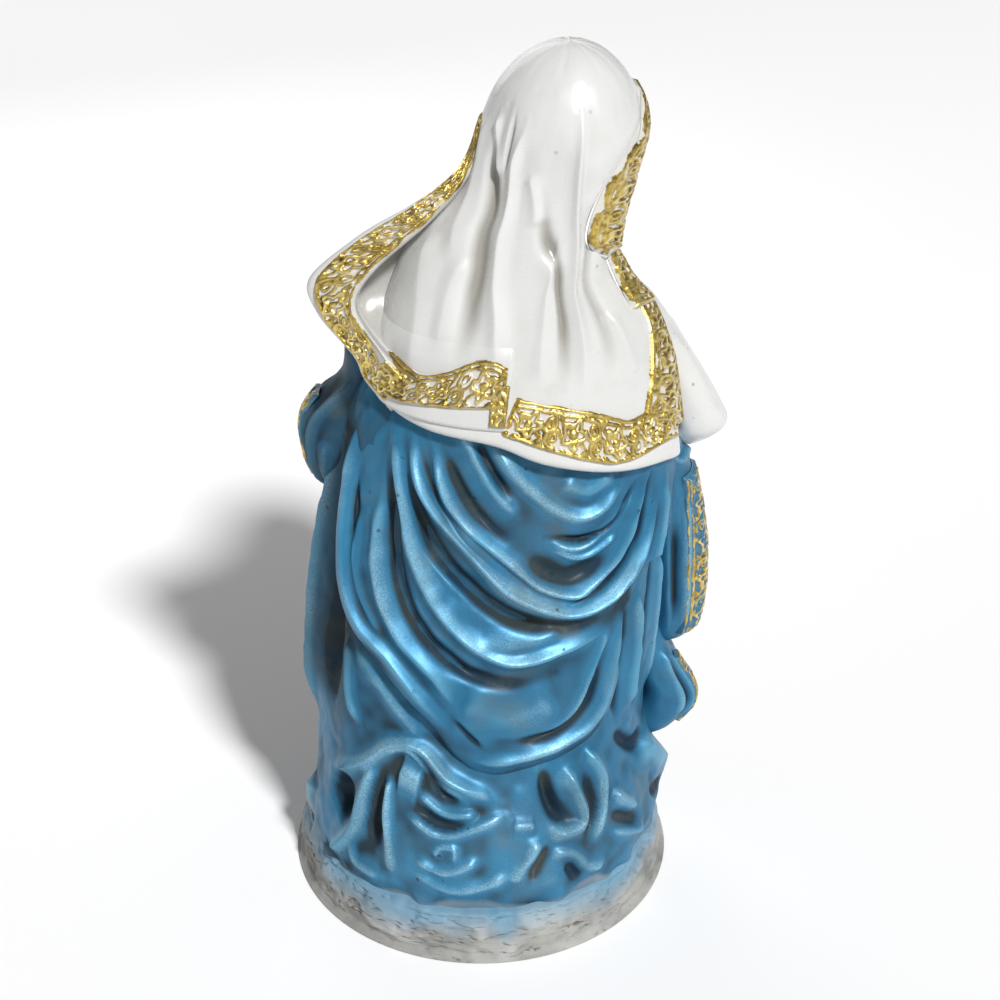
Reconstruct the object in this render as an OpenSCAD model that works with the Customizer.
// Kneeling madonna statue: a painted cast figure on a round rock base.
// +Z is up, the figure faces -Y, +X is the figure's left. The origin is the centre of the base's underside.

/* [Statue] */
// Height from the underside of the base to the crown of the veil
statue_h = 280; // [225:5:335]
// Points around each lofted cross-section
ring_points = 36; // [24:4:48]
// Rings between two design sections of a loft
ring_steps = 2; // [1:1:3]

/* [Base] */
// Half the width of the rock base at its foot
base_rx = 62.5; // [60:0.5:66]
// Half the depth of the rock base at its foot
base_ry = 68; // [65:0.5:72]
// Height of the rock base
base_h = 15; // [12:1:18]
// Depth of the stone lobes around the rim
base_lobe = 0.9; // [0:0.1:2]

/* [Garments] */
// Thickness of the veil where its edge stands free
veil_t = 5; // [4:0.5:7]
// Height of the veil's hem at the middle of the back
hem_z = 172; // [168:1:178]
// Sideways tilt of the hem, down towards the figure's right
hem_tilt = 8; // [4:1:12]
// Width of the lace borders
lace_w = 11; // [8:0.5:13]
// How far the lace borders stand proud of the cloth
lace_t = 1.2; // [0.8:0.1:1.8]

/* [Head and hands] */
// Half the width of the head
head_r = 17.5; // [16:0.5:18]
// Turn of the head towards the figure's right
head_turn = 35; // [15:5:45]
// Bow of the head
head_bow = 16; // [5:1:25]

/* [Hidden] */

size_k = statue_h / 280;   // every section below is drawn for a height of 280
join = 0.05;               // clearance left between two cast pieces that meet
head_at = [-27, -12, 250];

// Sections: [z, centre x, centre y, reach to +X, reach to -X, reach to -Y, reach to +Y]
GOWN = [
    [base_h, 0, -4, 47, 48, 48, 46],
    [34, 0, -4, 45, 46, 46, 42],
    [66, -2, -2, 40, 42, 39, 34],
    [100, -4, 0, 34, 38, 31, 30],
    [135, -8, 0, 29, 33, 26, 25],
    [165, -12, -1, 28, 31, 25, 23],
    [186, -15, -3, 27, 28, 23, 20],
    [203, -19, -5, 18, 20, 17, 15],
    [213, -22, -8, 12, 12, 12, 11],
    [223, -24, -10, 9.5, 9.5, 9.5, 9.5],
];
TRAIN = [
    [base_h, 0, 0, 58, 58, 46, 60],
    [26, 0, 0, 58, 61, 46, 59],
    [40, 0, 0, 57, 58, 45, 55],
    [54, 0, 0, 54, 54, 43, 49],
    [66, 0, 0, 49, 50, 40, 43],
];
MANTLE = [
    [50, 0, 0, 56, 57, 43, 48],
    [70, 0, 0, 58, 60, 43, 47],
    [92, -1, 0, 58, 60, 41, 44],
    [116, -3, 0, 58, 59, 38, 40],
    [142, -7, 0, 54, 56, 33, 36],
    [166, -11, 0, 50, 51, 29, 33],
    [184, -14, -2, 42, 43, 26, 28],
    [198, -17, -4, 29, 31, 21, 22],
];
VEIL = [
    [150, -12, 1, 50, 52, 32, 37],
    [166, -12, 1, 50, 50, 32, 36],
    [182, -13, 0, 48, 46, 30, 33],
    [198, -15, -2, 40, 38, 27, 29],
    [213, -18, -5, 31, 27, 25, 26],
    [228, -22, -8, 27, 23.5, 25, 26],
    [243, -25, -10, 27, 24.5, 26, 26],
    [257, -26, -11, 24, 24.5, 25, 25],
    [268, -26, -11, 19, 20, 20, 20],
    [275.5, -26, -11, 12, 12.5, 13, 13],
    [280, -26, -11, 2, 2, 2, 2],
];

function blend(p0, p1, p2, p3, t) =
    0.5 * (2 * p1 + (p2 - p0) * t + (2 * p0 - 5 * p1 + 4 * p2 - p3) * t * t
        + (3 * p1 - p0 - 3 * p2 + p3) * t * t * t);
function row_at(rows, i, t) =
    let (n = len(rows) - 1)
    blend(rows[max(i - 1, 0)], rows[i], rows[min(i + 1, n)], rows[min(i + 2, n)], t);
function refine(rows, steps) = concat(
    [for (i = [0:len(rows) - 2]) for (s = [0:steps - 1]) row_at(rows, i, s / steps)],
    [rows[len(rows) - 1]]);
function grow(rows, d) = [for (r = rows) [r[0], r[1], r[2], r[3] + d, r[4] + d, r[5] + d, r[6] + d]];
function ring(r, n) = [
    for (i = [0:n - 1])
        let (a = 360 * i / n, c = cos(a), s = sin(a))
        [r[1] + c * (c > 0 ? r[3] : r[4]), r[2] + s * (s > 0 ? r[6] : r[5]), r[0]]
];

// Closed solid through rings of n points each.
module skin(rings) {
    n = len(rings[0]);
    m = len(rings);
    polyhedron(
        points = [for (g = rings) each g],
        faces = concat(
            [[for (i = [0:n - 1]) i]],
            [for (k = [0:m - 2]) for (i = [0:n - 1])
                let (j = (i + 1) % n) each [
                    [k * n + i, (k + 1) * n + i, (k + 1) * n + j],
                    [k * n + i, (k + 1) * n + j, k * n + j]]],
            [[for (i = [n - 1:-1:0]) (m - 1) * n + i]]));
}
module loft(rows) {
    skin([for (r = refine(rows, ring_steps)) ring(r, ring_points)]);
}
// A flat band of width w and thickness t along a path, facing away from the upright line through about.
module band(path, w, t, about) {
    fine = refine(path, 3);
    skin([
        for (i = [0:len(fine) - 1])
            let (
                a = fine[max(i - 1, 0)], b = fine[min(i + 1, len(fine) - 1)],
                along = (b - a) / norm(b - a),
                out0 = [fine[i][0] - about[0], fine[i][1] - about[1], 0],
                out1 = out0 - along * (out0 * along),
                out = out1 / norm(out1),
                side = cross(out, along))
            [for (c = [[-1, -1], [1, -1], [1, 1], [-1, 1]])
                fine[i] + side * c[0] * w / 2 + out * c[1] * t / 2]
    ]);
}
// Balls joined one after another: each item is [centre, radius].
module chain(items, fn = 20) {
    for (i = [0:len(items) - 2])
        hull() for (j = [i, i + 1]) translate(items[j][0]) sphere(r = items[j][1], $fn = fn);
}
// The sculpted pieces have no bores, so each is handed on as one mesh; a resize to 0 keeps its size.
module cast_piece(c) {
    color(c) scale(size_k) resize([0, 0, 0]) children();
}
// Everything above the sloping plane of the veil's hem, lifted by up.
module above_hem(up = 0) {
    translate([-15, 0, hem_z + up]) rotate([-6, -hem_tilt, 0]) translate([-120, -120, 0]) cube([240, 240, 200]);
}

// ---- the shapes before they are cut back from each other ----
module gown_form() { loft(GOWN); }
module train_form() {
    difference() {
        loft(TRAIN);
        translate([-24, -100, 0]) cube([46, 72, 100]);
    }
}
module mantle_form() {
    difference() {
        loft(MANTLE);
        hull() {
            translate([-6, -60, 40]) cube([36, 36, 1], center = true);
            translate([-14, -60, 155]) cube([26, 60, 1], center = true);
            translate([-16, -60, 205]) cube([22, 70, 1], center = true);
        }
    }
}
module head_form() {
    translate(head_at) rotate([head_bow, 0, -head_turn]) {
        scale([head_r, 20.5, 23]) sphere(r = 1, $fn = 32);
        translate([0, -9, -11]) scale([11.5, 10.5, 13]) sphere(r = 1, $fn = 24);
    }
    chain([[head_at + [1, 2, -13], 9.5], [[-24.5, -10, 221], 9.5]]);
}
module face_window(grow_by = 0) {
    translate(head_at) rotate([head_bow, 0, -head_turn])
        hull() {
            translate([0, -12, -4]) scale([13 + grow_by, 8, 18 + grow_by]) sphere(r = 1, $fn = 28);
            translate([0, -50, -8]) scale([19 + grow_by, 8, 24 + grow_by]) sphere(r = 1, $fn = 28);
        }
}
module chest_window() {
    hull() {
        translate([-25, -22, 220]) sphere(r = 8, $fn = 20);
        translate([-22, -48, 192]) sphere(r = 20, $fn = 20);
        translate([-18, -58, 154]) sphere(r = 28, $fn = 20);
    }
}
module veil_form() {
    intersection() {
        difference() {
            loft(VEIL);
            face_window();
            chest_window();
        }
        above_hem();
    }
}
LEFT_ARM = [[[12, -6, 190], 12], [[35, -14, 177], 10], [[32, -28, 176], 9.5]];
RIGHT_ARM = [[[-43, -6, 188], 12], [[-62, -14, 164], 11], [[-56, -28, 164], 10]];
LEFT_WRIST = [-14, -44, 177];
RIGHT_WRIST = [-34, -44, 175];
module veil_fold_left_form() {
    chain([
        [[8, -6, 222], 8], [[28, -6, 216], 8], [[46, -6, 202], 8], [[44, -2, 190], 8], [[36, 6, 182], 7],
    ]);
}
module veil_fold_right_form() {
    chain([
        [[-46, -8, 204], 8], [[-55, -8, 190], 9], [[-68, -8, 163], 9], [[-58, -18, 170], 10],
    ]);
}

// ---- the pieces ----
module base() {
    color([0.62, 0.61, 0.58]) scale(size_k) union() {
        base_tier(0, 6, 0);
        base_tier(6, 6, 1.8);
        base_tier(12, base_h - 12, 5);
    }
}
// One layer of the rock, from z up by h, drawn in by inset.
module base_tier(z, h, inset) {
    translate([0, 0, z]) linear_extrude(h) polygon([
        for (i = [0:47])
            let (a = 7.5 * i, d = base_lobe * (sin(5 * a) + 0.6 * sin(11 * a + 40) - 0.8) - inset)
            [(base_rx + d) * cos(a), (base_ry + d) * sin(a)]
    ]);
}
module gown() {
    cast_piece([0.80, 0.52, 0.52]) difference() {
        gown_form();
        head_form();
    }
}
module train() {
    cast_piece([0.13, 0.36, 0.55]) difference() {
        train_form();
        loft(grow(GOWN, join));
        mantle_form();
    }
}
module mantle() {
    cast_piece([0.16, 0.42, 0.62]) difference() {
        mantle_form();
        loft(grow(GOWN, join));
    }
}
module drape_form(top, low, out) {
    hull() {
        translate(top) scale([0.8, 1, 0.8]) sphere(r = 11, $fn = 20);
        translate(low) scale([0.6, 1, 1]) sphere(r = 9, $fn = 20);
        translate(out) scale([0.6, 1, 1.2]) sphere(r = 8, $fn = 20);
    }
}
module mantle_drape_left_form() {
    drape_form([46, -14, 172], [48, -14, 128], [51, -12, 150]);
}
module mantle_drape_right_form() {
    drape_form([-60, -14, 148], [-62, -12, 84], [-66, -10, 116]);
}
module mantle_tail_right_form() {
    hull() {
        translate([-56, -6, 76]) sphere(r = 7, $fn = 18);
        translate([-62, -5, 56]) scale([0.7, 1, 1]) sphere(r = 8, $fn = 18);
        translate([-54, -2, 46]) scale([1, 1, 0.6]) sphere(r = 8, $fn = 18);
    }
}
module mantle_drape_left() {
    cast_piece([0.10, 0.30, 0.48]) difference() {
        mantle_drape_left_form();
        mantle_form();
        gown_form();
        veil_form();
        veil_fold_left_form();
        sleeve_form(LEFT_ARM, LEFT_WRIST);
    }
}
module mantle_drape_right() {
    cast_piece([0.16, 0.42, 0.62]) difference() {
        mantle_drape_right_form();
        mantle_form();
        gown_form();
        veil_form();
        veil_fold_right_form();
        mantle_tail_right_form();
        sleeve_form(RIGHT_ARM, RIGHT_WRIST);
    }
}
module mantle_tail_right() {
    cast_piece([0.16, 0.42, 0.62]) difference() {
        mantle_tail_right_form();
        mantle_form();
        train_form();
        gown_form();
    }
}
module veil() {
    cast_piece([0.86, 0.85, 0.82]) difference() {
        veil_form();
        mantle_form();
        loft(grow(GOWN, join));
        head_form();
        hair_form();
        sleeve_form(LEFT_ARM, LEFT_WRIST);
        sleeve_form(RIGHT_ARM, RIGHT_WRIST);
    }
}
module veil_fold_left() {
    cast_piece([0.86, 0.85, 0.82]) difference() {
        veil_fold_left_form();
        veil_form();
        mantle_form();
        gown_form();
        head_form();
        hair_form();
        sleeve_form(LEFT_ARM, LEFT_WRIST);
        chest_window();
    }
}
module veil_fold_right() {
    cast_piece([0.86, 0.85, 0.82]) difference() {
        veil_fold_right_form();
        veil_form();
        mantle_form();
        gown_form();
        sleeve_form(RIGHT_ARM, RIGHT_WRIST);
    }
}
module veil_trim_back() {
    cast_piece("goldenrod") intersection() {
        difference() {
            loft(grow(VEIL, lace_t));
            loft(grow(VEIL, join));
            above_hem(lace_w + 3);
            translate([-100, -110, 0]) cube([200, 110, 400]);
        }
        above_hem(3);
    }
}
module veil_trim_left() {
    cast_piece("goldenrod") difference() {
        band([[8, 3, 231], [24, 3, 225], [40, 3, 214], [50, 3, 201], [44, 8, 189], [36, 16, 181]], lace_w, 4, [10, -30]);
        veil_form();
        veil_fold_left_form();
        mantle_form();
        veil_trim_back_shell();
    }
}
module veil_trim_right() {
    cast_piece("goldenrod") difference() {
        band([[-47, 2, 206], [-53, 4, 196], [-60, 6, 184], [-62, 10, 172]], lace_w, 4, [-30, -30]);
        veil_form();
        veil_fold_right_form();
        mantle_form();
        veil_trim_back_shell();
    }
}
module veil_trim_back_shell() { loft(grow(VEIL, lace_t + join)); }
module veil_trim_face() {
    cast_piece("goldenrod") difference() {
        intersection() {
            loft(grow(VEIL, lace_t));
            face_window(8);
        }
        loft(grow(VEIL, join));
        face_window();
        chest_window();
        veil_fold_left_form();
    }
}
module mantle_trim_left() {
    cast_piece("darkgoldenrod") difference() {
        band([[48, -22, 168], [54, -18, 156], [55, -18, 142], [52, -20, 126]], lace_w, 4, [10, 10]);
        mantle_drape_left_form();
        mantle_form();
        veil_form();
        veil_fold_left_form();
        sleeve_form(LEFT_ARM, LEFT_WRIST);
    }
}
module mantle_trim_right() {
    cast_piece("darkgoldenrod") difference() {
        band([[-66, -10, 148], [-71, -8, 130], [-71, -8, 104], [-67, -10, 84]], lace_w, 4, [-30, 0]);
        mantle_drape_right_form();
        mantle_form();
        veil_fold_right_form();
        sleeve_form(RIGHT_ARM, RIGHT_WRIST);
    }
}
module mantle_trim_tail() {
    cast_piece("darkgoldenrod") difference() {
        band([[-64, -9, 68], [-67.5, -8, 60], [-65, -7, 51]], 8, 4, [-30, 0]);
        mantle_tail_right_form();
    }
}
module head() {
    cast_piece([0.87, 0.67, 0.56]) head_form();
}
module hair_form() {
    translate(head_at) rotate([head_bow, 0, -head_turn]) difference() {
        translate([0, 1, 1.5]) scale([head_r + 1.6, 21.5, 24]) sphere(r = 1, $fn = 32);
        translate([0, -22, -6]) scale([12, 13, 21]) sphere(r = 1, $fn = 28);
    }
}
module hair() {
    cast_piece([0.30, 0.19, 0.12]) difference() {
        hair_form();
        head_form();
        gown_form();
    }
}
module sleeve_form(arm, wrist) {
    chain(concat(arm, [[wrist, 7.5]]), 18);
}
module sleeve_left() {
    cast_piece([0.80, 0.52, 0.52]) difference() {
        sleeve_form(LEFT_ARM, LEFT_WRIST);
        gown_form();
        mantle_form();
        translate([-24, -75, 110]) mirror([1, 0, 0]) cube([60, 60, 120]);
    }
}
module sleeve_right() {
    cast_piece([0.80, 0.52, 0.52]) difference() {
        sleeve_form(RIGHT_ARM, RIGHT_WRIST);
        gown_form();
        mantle_form();
        translate([-24, -75, 110]) cube([60, 60, 120]);
    }
}
// A hand in prayer: side is 1 for the left one, whose palm faces -X.
module hand_form(side) {
    translate([-24 + side * join, -46, 179]) mirror([side > 0 ? 0 : 1, 0, 0]) intersection() {
        union() {
            chain([[[5, -1, -3], 4.6], [[3.4, -4, 8], 4.6]], 18);
            for (i = [0:3])
                chain([
                    [[2.4, -8.5 + 3.4 * i, 9], 2.1],
                    [[2.2, -12 + 3.4 * i, 18], 1.9],
                    [[2.0, -14.5 + 3.4 * i, [27, 29, 28.5, 25][i] - 1], 1.6],
                ], 14);
            chain([[[3, 2, 2], 2.6], [[2.6, 3, 10], 2.2], [[2.2, 1.5, 17], 1.8]], 14);
        }
        translate([0, -30, -20]) cube([30, 60, 80]);
    }
}
module hand_left() {
    cast_piece([0.87, 0.67, 0.56]) difference() {
        hand_form(1);
        sleeve_form(LEFT_ARM, LEFT_WRIST);
    }
}
module hand_right() {
    cast_piece([0.87, 0.67, 0.56]) difference() {
        hand_form(-1);
        sleeve_form(RIGHT_ARM, RIGHT_WRIST);
    }
}

base();
gown();
train();
mantle();
mantle_drape_left();
mantle_drape_right();
mantle_tail_right();
veil();
veil_fold_left();
veil_fold_right();
veil_trim_back();
veil_trim_left();
veil_trim_right();
veil_trim_face();
mantle_trim_left();
mantle_trim_right();
mantle_trim_tail();
head();
hair();
sleeve_left();
sleeve_right();
hand_left();
hand_right();
